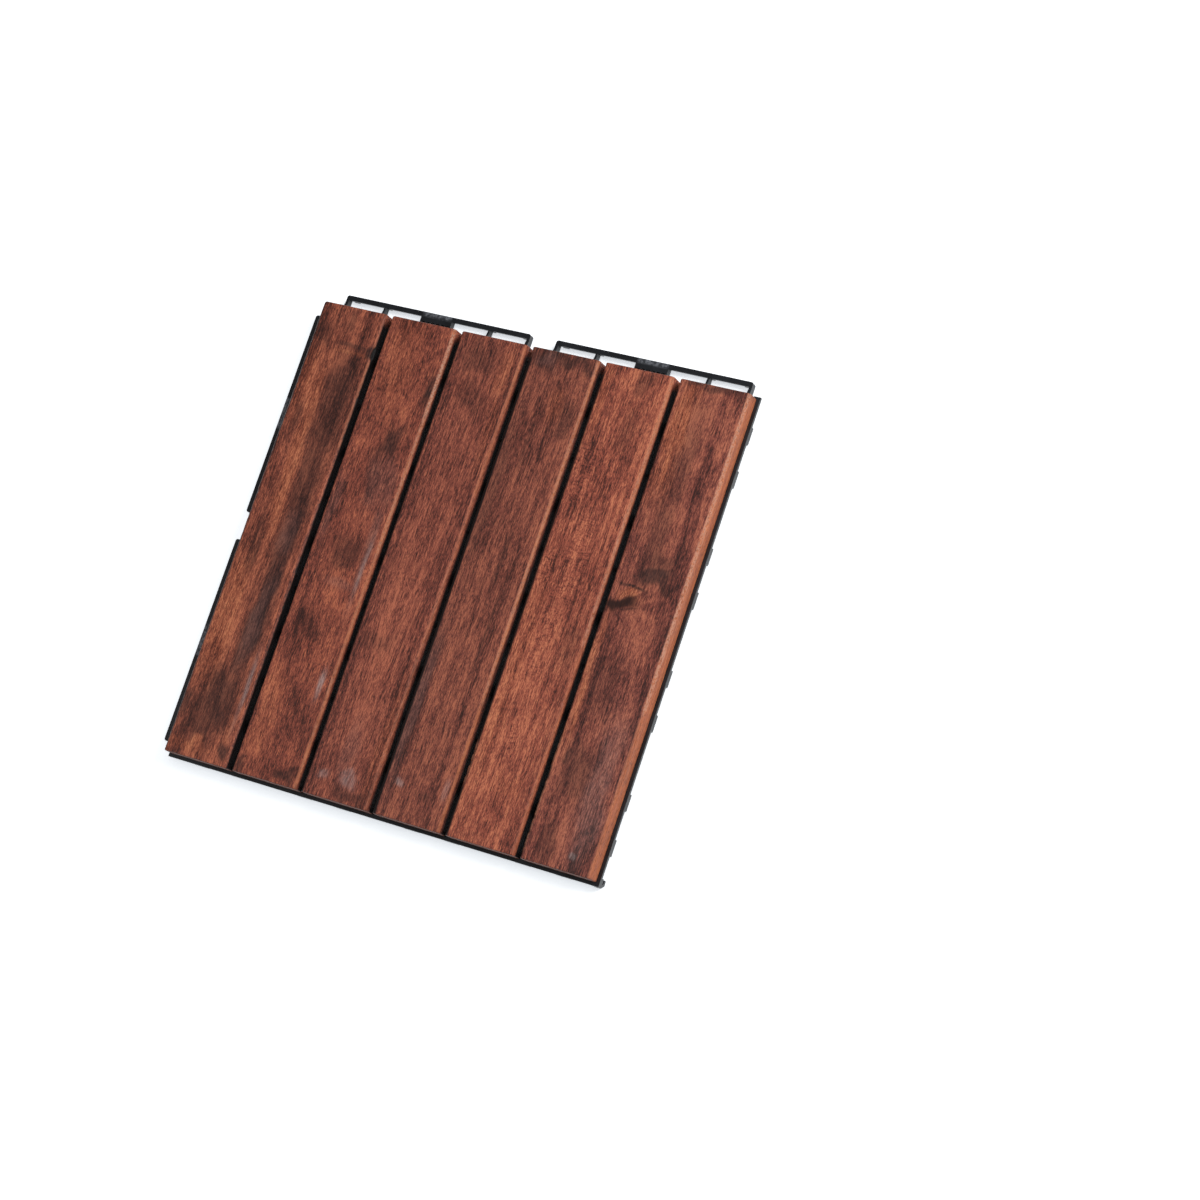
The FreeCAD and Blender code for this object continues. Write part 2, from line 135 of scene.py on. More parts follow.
# Screws: zinc-plated steel wood screws, driven up through the base into the slats. They keep
# their CAD solids. The plating is bright, with a slightly cloudy bloom that varies its gloss.
BLOOM_CLOUD = 2 * MM
zinc, tree = start_material("bright_zinc_plated_steel")
coords = add(tree, "TexCoord").outputs["Object"]
bloom = add(tree, "TexNoise", {"Vector": coords, "Scale": 1 / BLOOM_CLOUD, "Detail": 5.0})
colour = add(tree, "ValToRGB", [bloom], stops=[(0.3, "#a9aaa8"), (0.7, "#c9cbc8")])
shader = add(tree, "BsdfPrincipled", {
    "Base Color": colour, "Roughness": add(tree, "MapRange", (bloom, 0.0, 1.0, 0.22, 0.42)),
    "Metallic": 1.0})
add(tree, "OutputMaterial", [shader])
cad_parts["slat_screws"].material_slots[0].material = zinc

# Slats: six boards of planed tropical hardwood, dipped in a red-brown oil stain, with eased
# arrises. Each is screwed to the base from below. They differ in cut, stain and marks.
ARRIS_ROUND = 2.2 * MM
END_ROUND = 0.8 * MM
END_STEPS = 6
ROW_STEP = 0.75 * MM
FIRST_ROW = 1.5 * MM
LAST_ROW = 1.2 * MM
CUT_ROWS = [0, 1, 2, -3, -2, -1]        # the rows of points that show the sawn ends
MARK_KINDS = ("smoke", "glow", "pale", "haze", "knot", "ripple")


def cloud(across, along, cell_across, cell_along, seed):
    """Smooth random field from 0 to 1: random values at the corners of even cells, eased between
    corners by 3t^2 - 2t^3 both ways. It repeats after 128 cells."""
    repeat, start_across, start_along = 128, 37.3, 51.7
    corners = np.random.default_rng(seed).random((repeat, repeat))
    u = across / cell_across + start_across
    v = along / cell_along + start_along
    column, row = np.floor(u).astype(int), np.floor(v).astype(int)
    s, t = u - column, v - row
    s, t = s * s * (3 - 2 * s), t * t * (3 - 2 * t)
    left, right = column % repeat, (column + 1) % repeat
    low, high = row % repeat, (row + 1) % repeat
    return ((corners[left, low] * (1 - s) + corners[right, low] * s) * (1 - t)
            + (corners[left, high] * (1 - s) + corners[right, high] * s) * t)


def ease(values, low, high):
    """0 below one value and 1 above another, with 3t^2 - 2t^3 between them."""
    t = np.clip((values - low) / (high - low), 0, 1)
    return t * t * (3 - 2 * t)


def slat_section(width, low, high):
    """Section of a slat as one closed row of points: flat top, quarter rounds of ARRIS_ROUND at the
    top corners, upright sides, flat bottom. Gives each point's place, its outward normal (zero on the
    bottom, which isn't worn), and how far round it lies from the top (0) to a side (1)."""
    top_steps, round_steps, side_steps, bottom_steps = 52, 8, 6, 4
    half = width / 2
    angles = np.linspace(0, math.pi / 2, round_steps + 1)[1:]
    top = np.linspace(-half + ARRIS_ROUND, half - ARRIS_ROUND, top_steps + 1)
    side = np.linspace(high - ARRIS_ROUND, low, side_steps + 1)[1:]
    bottom = np.linspace(half, -half, bottom_steps + 1)[1:-1]
    right_x = np.r_[half - ARRIS_ROUND + ARRIS_ROUND * np.sin(angles), np.full(side.size, half)]
    right_z = np.r_[high - ARRIS_ROUND + ARRIS_ROUND * np.cos(angles), side]
    right_out = np.r_[np.sin(angles), np.ones(side.size)]
    right_up = np.r_[np.cos(angles), np.zeros(side.size)]
    right_turn = np.r_[angles / (math.pi / 2), np.ones(side.size)]
    x = np.r_[top, right_x, bottom, -right_x[::-1]]
    z = np.r_[np.full(top.size, high), right_z, np.full(bottom.size, low), right_z[::-1]]
    out = np.r_[np.zeros(top.size), right_out, np.zeros(bottom.size), -right_out[::-1]]
    up = np.r_[np.ones(top.size), right_up, np.zeros(bottom.size), right_up[::-1]]
    turn = np.r_[np.zeros(top.size), right_turn, np.ones(bottom.size), right_turn[::-1]]
    return x, z, out, up, turn


def worn_arrises(look, side, along, turn):
    """How bare and how raw each point is, from 0 to 1: each stretch of wear is eased in over 6 mm at
    its ends and from the top outwards. Beside a gap it fades before it reaches the upright side."""
    fade, from_top, to_side, raw_to_side = 3, (0.05, 0.2), (0.6, 0.95), (0.8, 0.99)
    bare, raw = np.zeros(turn.shape), np.zeros(turn.shape)
    for worn_side, start, end, bareness, rawness in look["wear"]:
        here = (side == worn_side) * ease(along, start - fade, start + fade)
        here = here * (1 - ease(along, end - fade, end + fade)) * ease(turn, *from_top)
        if worn_side < 0 or look["shade"][1] is not None:
            here = here * (1 - ease(turn, *to_side))
        bare = np.maximum(bare, here * bareness)
        raw = np.maximum(raw, here * rawness * (1 - ease(turn, *raw_to_side)))
    return bare, raw


def wear_depth(look, side, across, along, arris, top, raw):
    """How deep in mm the surface is worn in: the arrises by a little all along, by small chips in
    groups, deeper where they are raw, and by the nicks, each a flat-bottomed bell of the fourth
    power, and the top by a gentle swell. Left and right take their chips from rows well apart."""
    rubbed_off, chip_length, group_length, chip_depth, raw_chip_depth = 0.05, 2.2, 17, 0.8, 1.6
    swell_height, swell_across, swell_along = 0.12, 14, 45
    seed, row = look["seed"], side * 40
    chips = cloud(row, along, 1, chip_length, seed) ** 3 * cloud(row, along, 1, group_length, seed + 1)
    chips = chips * (chip_depth + raw_chip_depth * raw)
    swell = (cloud(across, along, swell_across, swell_along, seed + 2) - 0.5) * swell_height
    depth = arris * (rubbed_off + chips) + (1 - arris) * swell * top
    for place, nick_side, half_length, deepest in look["nicks"]:
        bell = np.exp(-((along - place) / half_length) ** 4)
        depth = depth + arris * (side == nick_side) * deepest * bell
    return depth


def growth_rings(look, across, along, height):
    """Distance in mm from the pith, which leans along the slat. Near a knot it is stretched by a
    bell of the squared distance, and a smooth random field makes it uneven by up to 2.2 mm."""
    stretch, push, reach_across, reach_along = 1.6, 6, 1.6, 2.6
    uneven, uneven_across, uneven_along = 2.2, 22, 60
    pith_across, pith_height = look["pith"]
    from_pith = across - pith_across
    above_pith = height - pith_height - look["lean"] * along
    for kind, knot_across, knot_along, half_across, half_along, _, _ in look["marks"]:
        if kind == "knot":
            aside = (across - knot_across) / (reach_across * half_across)
            beyond = (along - knot_along) / (reach_along * half_along)
            near = np.exp(-aside ** 2 - beyond ** 2)
            from_pith = from_pith + (across - knot_across) * near * stretch + push * near
    wander = cloud(across, along, uneven_across, uneven_along, look["seed"] + 3)
    return np.hypot(from_pith, above_pith) + uneven * wander


def mark_patch(across, along, mark):
    """Soft rounded patch from 1 at its middle to 0 outside: one over one plus the sixth power of the
    distance, whose fourth power is the sum of those of its parts in half-widths along the turned axes."""
    _, middle_across, middle_along, half_across, half_along, strength, turn = mark
    aside, beyond = across - middle_across, along - middle_along
    cos, sin = math.cos(math.radians(turn)), math.sin(math.radians(turn))
    u = (aside * cos + beyond * sin) / half_across
    v = (-aside * sin + beyond * cos) / half_along
    return strength / (1 + (u ** 4 + v ** 4) ** 1.5)


def slat_marks(look, across, along, worn_across):
    """Strength of each kind of mark: the strongest of its patches. Smooth random shifts of up to
    2.5 mm across and 6 mm along let their outlines wander, less for patches of under 6 mm."""
    span_across, cells_across, span_along, cells_along, full_from = 5, (5, 12), 12, (7, 11), 6
    marks = {kind: np.zeros(across.shape) for kind in MARK_KINDS}
    shift_across = (cloud(across, along, *cells_across, look["seed"] + 4) - 0.5) * span_across
    shift_along = (cloud(across, along, *cells_along, look["seed"] + 5) - 0.5) * span_along
    for mark in look["marks"]:
        kind, half_across, half_along = mark[0], mark[3], mark[4]
        wander = min(1.0, min(half_across, half_along) / full_from)
        patch = mark_patch(worn_across + wander * shift_across, along + wander * shift_along, mark)
        marks[kind] = np.maximum(marks[kind], patch)
    return marks


def paint_gap_shade(look, side, from_left, along, depth, arris, turn, bare):
    """Painted shade of a gap, from 0 to 1: on the left side and over its arris up to a reach, unless
    it is rubbed bare, and on the right side eased in about a depth, fading where the far end of a gap
    is lit. The tile's own left arris gets a weaker painted shade, and its own right side none."""
    reach, begins = look["shade"]
    outer_arris_shade, edge_half, ease_from, ease_to, lit_from, lit_fully = 0.7, 0.5, 0.55, 1.45, 141, 148
    left = outer_arris_shade * arris
    if reach is not None:
        over_arris = 1 - ease(from_left, reach - edge_half, reach + edge_half)
        left = np.where(turn < 1, over_arris, 1) * (1 - bare)
    right = 0 if begins is None else ease(depth, ease_from * begins, ease_to * begins)
    return np.where(side < 0, left, right) * (1 - ease(along, lit_from, lit_fully))


def closed_mesh(name, X, Y, Z, fields):
    """Mesh through rows of points: a quad between each four neighbours, every row closed on itself,
    and one flat face at either end. The fields become attributes of its points."""
    rows, columns = X.shape
    index = np.arange(rows * columns).reshape(rows, columns)
    quads = np.stack([index[:-1], index[1:], np.roll(index, -1, 1)[1:], np.roll(index, -1, 1)[:-1]], -1)
    faces = quads.reshape(-1, 4).tolist() + [index[0].tolist(), index[-1][::-1].tolist()]
    mesh = bpy.data.meshes.new(name)
    mesh.from_pydata(np.stack([X, Y, Z], -1).reshape(-1, 3).tolist(), [], faces)
    for field, values in fields.items():
        attribute = mesh.attributes.new(field, "FLOAT", "POINT")
        attribute.data.foreach_set("value", values.astype(np.float32).ravel())
    mesh.shade_smooth()
    mesh.set_sharp_from_angle(angle=math.radians(40))
    return mesh


def make_slat(number, look):
    """A slat's surface: its section carried along the length, drawn in by a quarter round at each
    end, and worn in along its normals. Fields on its points say where the material shows what."""
    node = f"slat_{number}"
    low, high = (np.array(corner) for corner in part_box(node))
    middle = (low[0] + high[0]) / 2
    width = high[0] - low[0]
    bend = np.linspace(math.pi / 2, 0, END_STEPS)
    from_end = END_ROUND * (1 - np.sin(bend))
    drawn_in = END_ROUND * (1 - np.cos(bend))
    span = np.arange(low[1] + FIRST_ROW, high[1] - LAST_ROW, ROW_STEP)
    y = np.r_[low[1] + from_end, span, (high[1] - from_end)[::-1]]
    inset = np.r_[drawn_in, np.zeros(span.size), drawn_in[::-1]]
    x, z, out, up, turn = slat_section(width, low[2], high[2])
    X, Y = np.meshgrid(x, y)
    Z, out, up, turn = (np.broadcast_to(row, X.shape) for row in (z, out, up, turn))
    side = np.sign(X)
    across, along = X / MM, Y / MM
    arris = np.sin(math.pi * turn)

    bare, raw = worn_arrises(look, side, along, turn)
    depth = wear_depth(look, side, across, along, arris, up > 0.5, raw) * MM + inset[:, None]
    X = X - depth * out
    Z = Z - depth * up
    height = (Z - high[2]) / MM
    ends = np.zeros(X.shape)
    ends[CUT_ROWS] = 1
    from_left = across + width / 2 / MM
    # Painted shade down the gaps between the slats, left off the sawn ends.
    wall = paint_gap_shade(look, side, from_left, along, -height, arris, turn, bare) * (1 - ends)
    fields = {"rings": growth_rings(look, across, along, height), "bare": bare, "raw": raw,
              "wall": wall, "ends": ends, **slat_marks(look, across, along, X / MM)}

    mesh = closed_mesh(node + "_wood", X + middle, Y, Z, fields)
    piece = bpy.data.objects.new(node + "_wood", mesh)
    bpy.context.scene.collection.objects.link(piece)
    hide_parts(node)
    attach(piece, "root")
    return piece


# Patterns of the wood: cells in mm across and along the slat, detail and roughness. Pores are
# some 0.2 mm wide and fibres finer still, and both are drawn coarser so that they show.
WOOD_CELLS = {
    "fibres": (0.6, 8, 3.0, 0.65),
    "specks": (0.45, 2.2, 2.0, 0.7),
    "mottle": (1.7, 5, 3.0, 0.6),
    "blotches": (13, 30, 1.5, 0.6),
    "ladder": (3.5, 1.1, 1.0, 0.6),
    "flakes": (1.0, 1.6, 2.0, 0.6),
    "pores": (0.45, 2.6, 1.0, 0.6),
    "sawn": (1.2, 9, 3.0, 0.6),
}
STREAK_LENGTH = 55 * MM
GRAIN_RELIEF = 0.15 * MM
LADDER_DARK = 0.27


def stained_wood(number, look):
    """Acacia-like hardwood under a red-brown oil stain: streaks follow the growth rings, short pores
    hold dark stain, and worn arrises show the paler wood."""
    material, tree = start_material(f"oil_stained_hardwood_{number}")
    seed = float(look["seed"])
    coords = add(tree, "TexCoord").outputs["Object"]
    patterns = {}
    for name, (cell_across, cell_along, detail, roughness) in WOOD_CELLS.items():
        cells = (1 / (cell_across * MM), 1 / (cell_along * MM), 1 / (cell_across * MM))
        place = add(tree, "Mapping", {"Vector": coords, "Location": (seed, seed, 0), "Scale": cells})
        patterns[name] = add(tree, "TexNoise", {"Vector": place, "Scale": 1.0, "Detail": detail,
                                                "Roughness": roughness})
    fields = {}
    for name in ("rings", "bare", "raw", "wall", "ends") + MARK_KINDS:
        fields[name] = add(tree, "Attribute", attribute_name=name).outputs["Fac"]

    along = add(tree, "SeparateXYZ", [coords]).outputs["Y"]
    along = add(tree, "Math", (along, 1 / STREAK_LENGTH), operation="MULTIPLY")
    flow = add(tree, "CombineXYZ", (fields["rings"], along, seed))
    streaks = add(tree, "TexNoise", {"Vector": flow, "Scale": look["streak"], "Detail": 4.0,
                                     "Roughness": 0.7})
    bands = add(tree, "TexNoise", {"Vector": flow, "Scale": 0.2, "Detail": 3.0})
    grain = ((streaks, look["figure"]), (bands, 1.2), (patterns["fibres"], 1.9), (patterns["specks"], 1.9),
             (patterns["mottle"], 0.3), (patterns["blotches"], look["cloud"]))
    total = 0.0
    for part, weight in grain:
        part = add(tree, "Math", (part, weight), operation="MULTIPLY")
        total = add(tree, "Math", (total, part), operation="ADD")
    level = sum(weight for _, weight in grain) / 2
    tone = add(tree, "MapRange", (total, level - 0.5, level + 0.5))
    ladder = add(tree, "MapRange", (patterns["ladder"], 0.5, 0.62))
    ladder = add(tree, "Math", (ladder, fields["ripple"]), operation="MULTIPLY")
    ladder = add(tree, "Math", (ladder, LADDER_DARK), operation="MULTIPLY")
    tone = add(tree, "Math", (tone, ladder), operation="SUBTRACT", use_clamp=True)

    def share(name, pattern, low, high, least, most):
        """A field of the surface, broken up by a pattern whose low and high give least and most of it."""
        broken = add(tree, "MapRange", (pattern, low, high, least, most))
        return add(tree, "Math", (fields[name], broken), operation="MULTIPLY", use_clamp=True)

    pores = add(tree, "MapRange", (patterns["pores"], 0.56, 0.68, 0.0, 0.5))
    wood = add(tree, "ValToRGB", [tone], stops=look["stain"])
    # A lit, brighter copy of the wood for the glow marks: partly lighter streaks, partly painted light.
    lit = add(tree, "ValToRGB", [tone], stops=[(0.0, "#5e2b20"), (0.5, "#a75b40"), (1.0, "#d1845d")])
    smoked = add(tree, "ValToRGB", [tone], stops=[(0.0, "#1f1413"), (0.5, "#3a2420"), (1.0, "#52342e")])
    sheen_ramp = add(tree, "ValToRGB", [tone], stops=[(0.0, "#4d3432"), (0.5, "#74504a"), (1.0, "#96695d")])
    rubbed = add(tree, "ValToRGB", [streaks], stops=[(0.3, "#9a4f34"), (0.7, "#ca7b51")])
    sawn = add(tree, "ValToRGB", [patterns["sawn"]], stops=[(0.3, "#472720"), (0.7, "#8a5646")])
    covers = [
        (share("glow", streaks, 0.35, 0.65, 0.5, 1.1), lit),
        (share("smoke", patterns["mottle"], 0.3, 0.7, 0.75, 1.1), smoked),
        # Greyish-pink painted sheen, a painted reflection laid over the wood.
        (share("haze", patterns["fibres"], 0.3, 0.7, 0.5, 1.0), sheen_ramp),
        # Pale: a chalky rub, partly a painted sheen.
        (share("pale", patterns["fibres"], 0.35, 0.65, 0.2, 1.0), "#a8938f"),
        (fields["knot"], "#25130f"),
        (share("bare", patterns["mottle"], 0.3, 0.55, 0.6, 1.0), rubbed),
        (share("raw", patterns["flakes"], 0.42, 0.52, 0.1, 1.0), "#bb866f"),
        (pores, "#2a1413"),
        (fields["ends"], sawn),
        # Painted shade in the gaps, near black.
        (fields["wall"], "#100808"),
    ]
    for cover, colour in covers:
        wood = add(tree, "Mix", {FACTOR: cover, UNDER: wood, OVER: colour}, data_type="RGBA")
    relief = add(tree, "Math", (streaks, pores), operation="SUBTRACT")
    bump = add(tree, "Bump", {"Height": relief, "Distance": GRAIN_RELIEF, "Strength": 0.6})
    shader = add(tree, "BsdfPrincipled", {
        "Base Color": wood, "Roughness": add(tree, "MapRange", (patterns["blotches"], 0.3, 0.7, 0.45, 0.62)),
        "IOR": 1.5, "Specular IOR Level": 0.22, "Normal": bump})
    add(tree, "OutputMaterial", [shader])
    return material


# Each slat from the left, in mm.
# Pith: its place from the slat's middle line and from the top. Lean: its rise along the slat.
# Streak: how many streaks there are to 1 mm of rings. Figure and cloud: weights of the streaks and
# of the blotches in the grain. Stain: colours of the darkest, middle and lightest tone.
# Wear: side of the slat, from and to, how bare the arris is rubbed, how raw it is flaked.
# Shade: how far the painted shade of a gap reaches over the left arris, and how deep it begins on
# the right side, or None where the tile ends. Nicks: place, side, half-length and depth.
# Marks: kind, then middle and half-widths from the slat's middle line and the tile's middle,
# strength, and turn in degrees. Smoke is dark stain, glow a lit, brighter copy of the wood, partly
# lighter streaks and partly painted light, the greyish sheen marks a painted sheen, pale a chalky rub
# with some painted sheen, and ripple a figure of short dark bars.
SLATS = {
    1: {"seed": 11, "pith": (-60, -25), "lean": 0.02, "streak": 0.9, "figure": 0.8, "cloud": 1.1,
        "stain": [(0.0, "#3c201a"), (0.5, "#864738"), (1.0, "#c37153")],
        "wear": [(1, 60, 118, 0.6, 0.1), (1, 126, 150, 0.3, 0)],
        "shade": (None, 0.9), "nicks": [(123, 1, 4, 1.1)],
        "marks": [("smoke", 9.2, 85, 11, 36, 0.74, 1.5), ("smoke", 9.5, 32, 8.2, 34, 0.7, 1),
                  ("smoke", 1.5, 141, 2.5, 6, 0.5, 0), ("smoke", 8, 125, 12, 1.6, 0.75, 0),
                  ("glow", 9, 120.6, 12, 0.9, 0.9, 0), ("smoke", 21, 124, 2, 4, 1.0, 0),
                  ("smoke", -16, 132, 6, 6, 0.5, 0), ("smoke", -14, 73, 2.4, 9, 0.55, 0),
                  ("glow", -6, 50, 4.5, 55, 0.75, 2), ("glow", -17, 96, 5, 24, 0.6, 0),
                  ("smoke", -12, -10, 1.6, 18, 0.55, 2), ("smoke", -8, -16, 1.6, 12, 0.6, 0),
                  ("glow", -13, -58, 8.5, 40, 0.85, 0), ("smoke", 9.4, -12, 7, 24, 0.8, 0),
                  ("haze", 9, 0, 4.5, 13, 0.5, 0), ("smoke", 9.2, -56, 7, 38, 0.92, 0),
                  ("haze", 9, -56, 4.5, 24, 0.55, 0), ("smoke", 0.5, -111, 13.5, 22, 0.8, -8),
                  ("smoke", -1.5, -131, 6, 6, 0.7, 0), ("smoke", -19, -117, 3.4, 8, 0.75, 0),
                  ("haze", 18.4, -101, 1.6, 24, 0.9, 0), ("pale", 18.6, -98, 1.0, 12, 0.6, 0),
                  ("glow", -10, -141, 14, 5, 0.8, 0), ("glow", 16.5, -128, 2.2, 9, 0.5, 0),
                  ("smoke", 17.5, -140, 3.4, 4.5, 0.85, 0)]},
    2: {"seed": 22, "pith": (12, -70), "lean": 0.05, "streak": 1.0, "figure": 0.8, "cloud": 1.1,
        "stain": [(0.0, "#3d221d"), (0.5, "#8b483a"), (1.0, "#c47152")],
        "wear": [(1, 92, 150, 0.9, 1.0), (1, 0, 92, 0.95, 0.4), (1, -150, 0, 0.75, 0.1)],
        "shade": (1.2, 2.6), "nicks": [(60, 1, 9, 0.5), (95, 1, 5, 0.5), (118, 1, 3, 0.5)],
        "marks": [("glow", -8, 128, 10, 34, 0.35, 0), ("smoke", 19.5, 108, 2.6, 11, 0.95, 0),
                  ("smoke", 6.5, 72, 6, 8, 0.85, -10), ("haze", 9, 44, 9, 18, 0.45, 10),
                  ("smoke", 2, 52, 4, 14, 0.35, 12), ("haze", 16, 14, 3, 15, 0.6, 0),
                  ("smoke", 3, -3, 8.5, 9, 0.6, 12), ("haze", 16.8, -6, 2, 25, 0.85, 0),
                  ("pale", 17, -8, 1.0, 16, 0.5, 0), ("haze", 5, -23, 10, 2.5, 0.45, -14),
                  ("smoke", -1, -55, 5, 6, 0.45, 0), ("smoke", -9, -49, 6, 7, 0.45, 20),
                  ("pale", 15.8, -85, 1.4, 8, 0.9, 0), ("smoke", 13, -143, 8, 4.5, 0.85, 8),
                  ("smoke", -20, -145, 4, 4, 0.7, 0), ("glow", -14, -110, 7, 30, 0.3, 0),
                  ("haze", -18, 22, 3, 20, 0.5, 0)]},
    3: {"seed": 33, "pith": (0, -7), "lean": 0.055, "streak": 1.1, "figure": 1.3, "cloud": 0.5,
        "stain": [(0.0, "#39201c"), (0.5, "#834539"), (1.0, "#ba6c52")],
        "wear": [(1, 50, 150, 0.65, 0), (1, -150, 50, 0.4, 0)],
        "shade": (1.9, 3.3), "nicks": [],
        "marks": [("smoke", -6, 134, 12, 12, 0.5, 10), ("smoke", -3, 108, 9, 7, 0.4, -30),
                  ("glow", 15, 128, 5, 18, 0.4, 0), ("glow", 18, 90, 3, 24, 0.4, 0),
                  ("smoke", -8, -50, 11, 5, 0.35, 8),
                  ("haze", 0, -116, 6, 16, 0.4, 0), ("pale", -12.5, -137, 3, 2.5, 0.5, 0),
                  ("pale", 5, -135, 5, 4, 0.5, 0), ("smoke", 10, -145, 12, 4, 0.6, 0),
                  ("glow", 19, -110, 3, 38, 0.5, 0)]},
    4: {"seed": 44, "pith": (90, -40), "lean": 0.01, "streak": 1.3, "figure": 1.0, "cloud": 0.7,
        "stain": [(0.0, "#361f1a"), (0.5, "#7d4338"), (1.0, "#b46a50")],
        "wear": [(1, -70, 150, 1.0, 0.35), (1, -150, -70, 0.8, 0)],
        "shade": (2.7, 3.5), "nicks": [],
        "marks": [("smoke", 0, 147, 24, 5, 0.8, 0), ("smoke", -13, 142, 9, 7, 0.6, 0),
                  ("haze", -11, 143, 6, 4, 0.6, 0), ("smoke", 14, 107, 5, 11, 0.5, 0),
                  ("smoke", -18, 62, 4, 50, 0.5, 0), ("glow", 5, 116, 5, 8, 0.5, 0),
                  ("smoke", 4, 16, 1.6, 17, 0.5, 0), ("smoke", -5.6, 88, 0.8, 14, 0.6, 0),
                  ("smoke", 10, -30, 0.8, 24, 0.7, 0), ("smoke", -18.5, -75, 4, 44, 0.55, 0),
                  ("haze", -19, -85, 3.5, 40, 0.6, 0), ("pale", -12.2, -127, 2.2, 1.8, 0.7, 0),
                  ("pale", 19, -125, 1.6, 6, 0.4, 0), ("smoke", 7, -131.5, 2.2, 1.8, 0.6, 0)]},
    5: {"seed": 55, "pith": (-110, -30), "lean": 0.01, "streak": 0.9, "figure": 0.8, "cloud": 0.9,
        "stain": [(0.0, "#462620"), (0.5, "#984f3f"), (1.0, "#ce7c5b")],
        "wear": [(1, -20, 150, 0.95, 0.4), (1, -150, -20, 0.6, 0), (-1, -118, -92, 0.6, 0.8)],
        "shade": (2.3, 2.2), "nicks": [(-98, -1, 1.5, 0.8), (-105, -1, 1.5, 0.8), (-112, -1, 1.2, 0.6)],
        "marks": [("glow", -18, 125, 2.5, 24, 0.6, 0), ("smoke", 6, 143, 5, 7, 0.5, 0),
                  ("smoke", 5, 111, 5, 10, 0.35, 0), ("ripple", -14, 80, 6, 17, 1.0, 0),
                  ("ripple", -16, 22, 4, 11, 1.0, 0), ("ripple", 0, 28, 6, 32, 1.0, 0),
                  ("ripple", -3, -25, 6, 24, 0.8, 0), ("ripple", -1, -88, 4, 9, 1.0, 0),
                  ("smoke", 16, -23, 6, 13, 0.4, 0), ("glow", -16, -50, 5, 70, 0.4, 0),
                  ("glow", 6, -115, 9, 7, 0.35, 0), ("smoke", 20, -80, 2, 60, 0.2, 0)]},
    6: {"seed": 66, "pith": (40, -50), "lean": 0.03, "streak": 0.95, "figure": 0.9, "cloud": 1.2,
        "stain": [(0.0, "#38201d"), (0.5, "#82453b"), (1.0, "#bb6f55")],
        "wear": [(1, -50, 150, 0.9, 0.8), (1, -150, -50, 0.8, 0.1), (-1, -145, -75, 0.5, 0.9)],
        "shade": (1.5, None), "nicks": [(-98, -1, 4, 0.8), (-106, -1, 2, 0.5)],
        "marks": [("smoke", 2, 148.5, 20, 3, 0.75, 0), ("glow", -14.5, 110, 6, 36, 0.9, 0),
                  ("smoke", -3, 100, 6, 30, 0.45, 0), ("smoke", -4, 50, 7, 24, 0.5, 0),
                  ("smoke", 2.5, 26, 10.5, 5.6, 1.0, 8), ("smoke", 4, 35, 8, 8, 0.6, 0),
                  ("smoke", -9, 20.8, 9, 0.8, 1.0, -8),
                  ("glow", -11, 17, 6, 3, 0.9, 0), ("knot", -13, 10.6, 9.5, 3.1, 0.95, 13),
                  ("knot", -18, 8.6, 4, 4.0, 0.95, 0), ("smoke", -7, 7.6, 6, 0.5, 0.8, 17),
                  ("glow", -19, -38, 2.8, 38, 0.8, 0), ("smoke", -7, -42, 9, 20, 0.35, 0),
                  ("smoke", -6, -94, 10, 17, 0.6, 0), ("smoke", -14.5, -86, 2.6, 6, 0.8, 0),
                  ("haze", 11, -98, 8.5, 44, 0.4, 0), ("pale", 11, -104, 7.5, 36, 0.14, 0),
                  ("pale", 8.7, -139.5, 2.2, 1.8, 0.8, 0), ("smoke", -9, -136, 6, 11, 0.5, 0)]},
}
for number, look in SLATS.items():
    slat = make_slat(number, look)
    slat.data.materials.append(stained_wood(number, look))

# Stage: a plain white floor that keeps the tile's soft shadow, three softboxes and a dim world.
# To the camera and in reflections the floor is lifted, faintly bluish near the tile and full white
# further out, which puts no more diffuse light on the tile.
FLOOR_HALF = 4.0
NEAR_RADIUS = 0.22
FAR_RADIUS = 0.5
NEAR_LIFT = 0.62
NEAR_TINT = (0.9, 0.95, 1, 1)
WORLD_STRENGTH = 0.2
corners = [(-FLOOR_HALF, -FLOOR_HALF, 0), (FLOOR_HALF, -FLOOR_HALF, 0),
           (FLOOR_HALF, FLOOR_HALF, 0), (-FLOOR_HALF, FLOOR_HALF, 0)]
floor_mesh = bpy.data.meshes.new("floor")
floor_mesh.from_pydata(corners, [], [(0, 1, 2, 3)])
floor = bpy.data.objects.new("floor", floor_mesh)
bpy.context.scene.collection.objects.link(floor)
paper, tree = start_material("matt_white_paper")
rays = add(tree, "LightPath").outputs
seen = add(tree, "Math", (rays["Is Camera Ray"], rays["Is Glossy Ray"]), operation="MAXIMUM")
seen = add(tree, "Math", (seen, rays["Is Transmission Ray"]), operation="MAXIMUM")
coords = add(tree, "TexCoord").outputs["Object"]
radius = add(tree, "VectorMath", [coords], operation="LENGTH")
far = add(tree, "MapRange", (radius, NEAR_RADIUS, FAR_RADIUS))
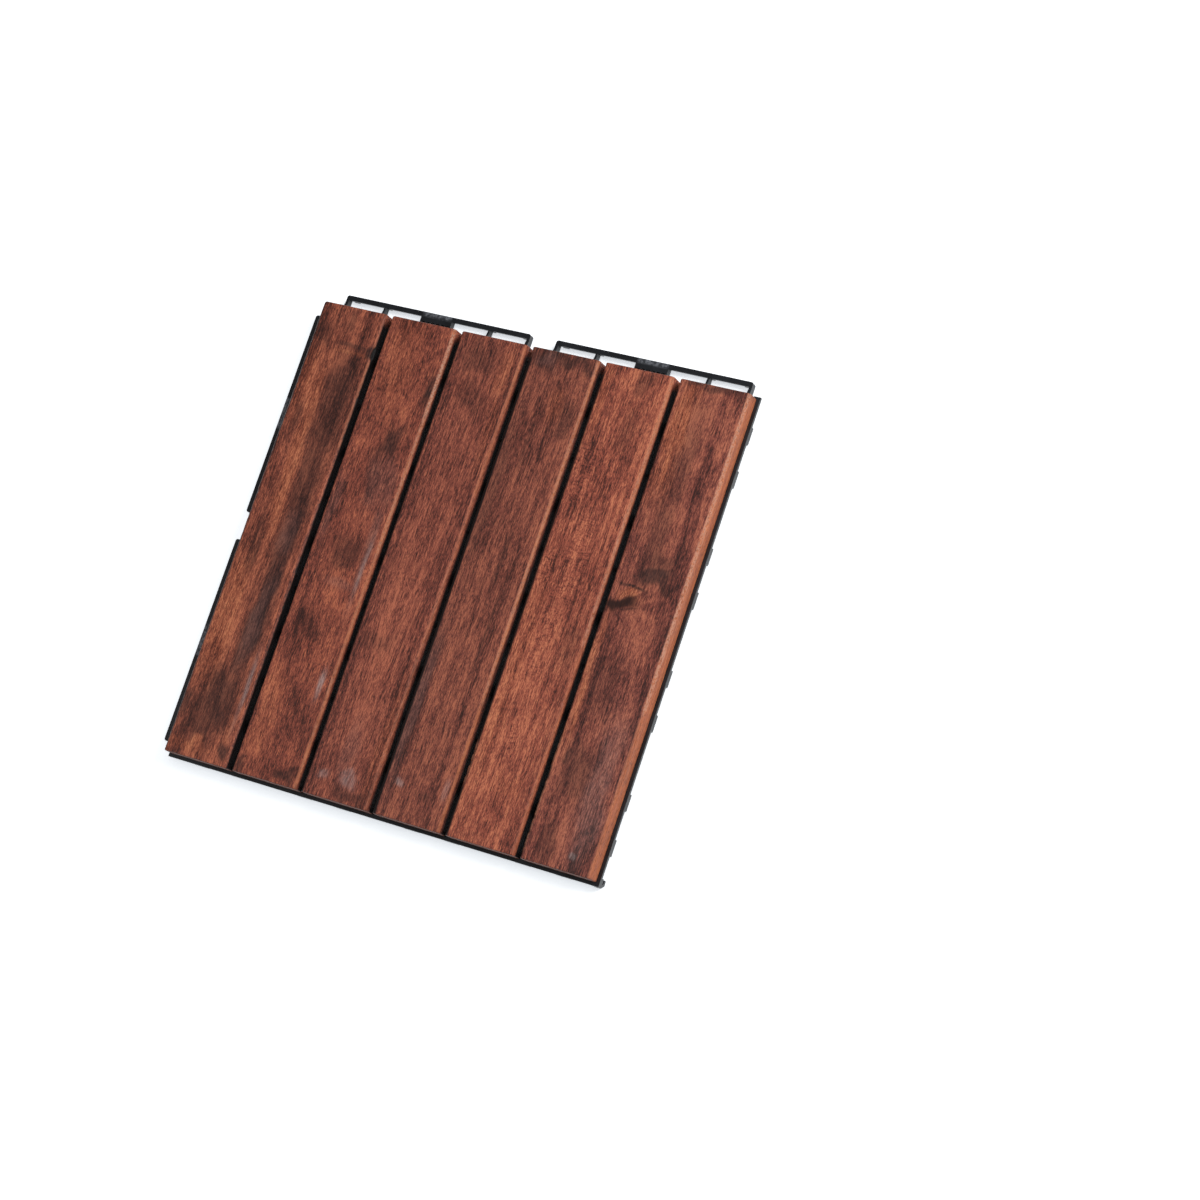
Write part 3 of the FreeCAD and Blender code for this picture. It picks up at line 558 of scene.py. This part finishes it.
lift = add(tree, "MapRange", (far, 0.0, 1.0, NEAR_LIFT, 1.0))
lift = add(tree, "Math", (seen, lift), operation="MULTIPLY")
tint = add(tree, "Mix", {FACTOR: far, UNDER: NEAR_TINT, OVER: "#ffffff"}, data_type="RGBA")
shader = add(tree, "BsdfPrincipled", {
    "Base Color": "#eeeeee", "Roughness": 0.9, "Specular IOR Level": 0.0,
    "Emission Color": tint, "Emission Strength": lift})
add(tree, "OutputMaterial", [shader])
floor_mesh.materials.append(paper)

world = bpy.data.worlds.new("studio")
bpy.context.scene.world = world
world.use_nodes = True
world.node_tree.nodes["Background"].inputs["Color"].default_value = (1, 1, 1, 1)
world.node_tree.nodes["Background"].inputs["Strength"].default_value = WORLD_STRENGTH


def softbox(name, place, size, watts):
    """A square area light that faces the tile's middle."""
    light = bpy.data.lights.new(name, "AREA")
    light.shape = "SQUARE"
    light.size = size
    light.energy = watts
    lamp = bpy.data.objects.new(name, light)
    facing = (-Vector(place)).to_track_quat("-Z", "Y").to_matrix().to_4x4()
    lamp.matrix_world = Matrix.Translation(place) @ facing
    bpy.context.scene.collection.objects.link(lamp)


softbox("key_softbox", (1.3, 0.6, 1.2), size=0.7, watts=23)
softbox("top_softbox", (0.5, 0.2, 1.8), size=1.0, watts=8)
softbox("fill_softbox", (-1.3, -0.5, 0.9), size=0.8, watts=4)

# Camera: looks down on the tile from over its near right corner, turned on its side as the
# photograph shows it.
EYE = Vector((0.8312, -0.2554, 1.5482))
AIM = Vector((0.0998, 0.0083, 0.0200))
CAMERA_ROLL = math.radians(-53.54)
camera_data = bpy.data.cameras.new("camera")
camera_data.sensor_width = 36.0
camera_data.lens = 87.64
camera = bpy.data.objects.new("camera", camera_data)
facing = (AIM - EYE).to_track_quat("-Z", "Y").to_matrix().to_4x4()
camera.matrix_world = Matrix.Translation(EYE) @ facing @ Matrix.Rotation(CAMERA_ROLL, 4, "Z")
bpy.context.scene.collection.objects.link(camera)
bpy.context.scene.camera = camera
bpy.context.scene.view_settings.view_transform = "Standard"
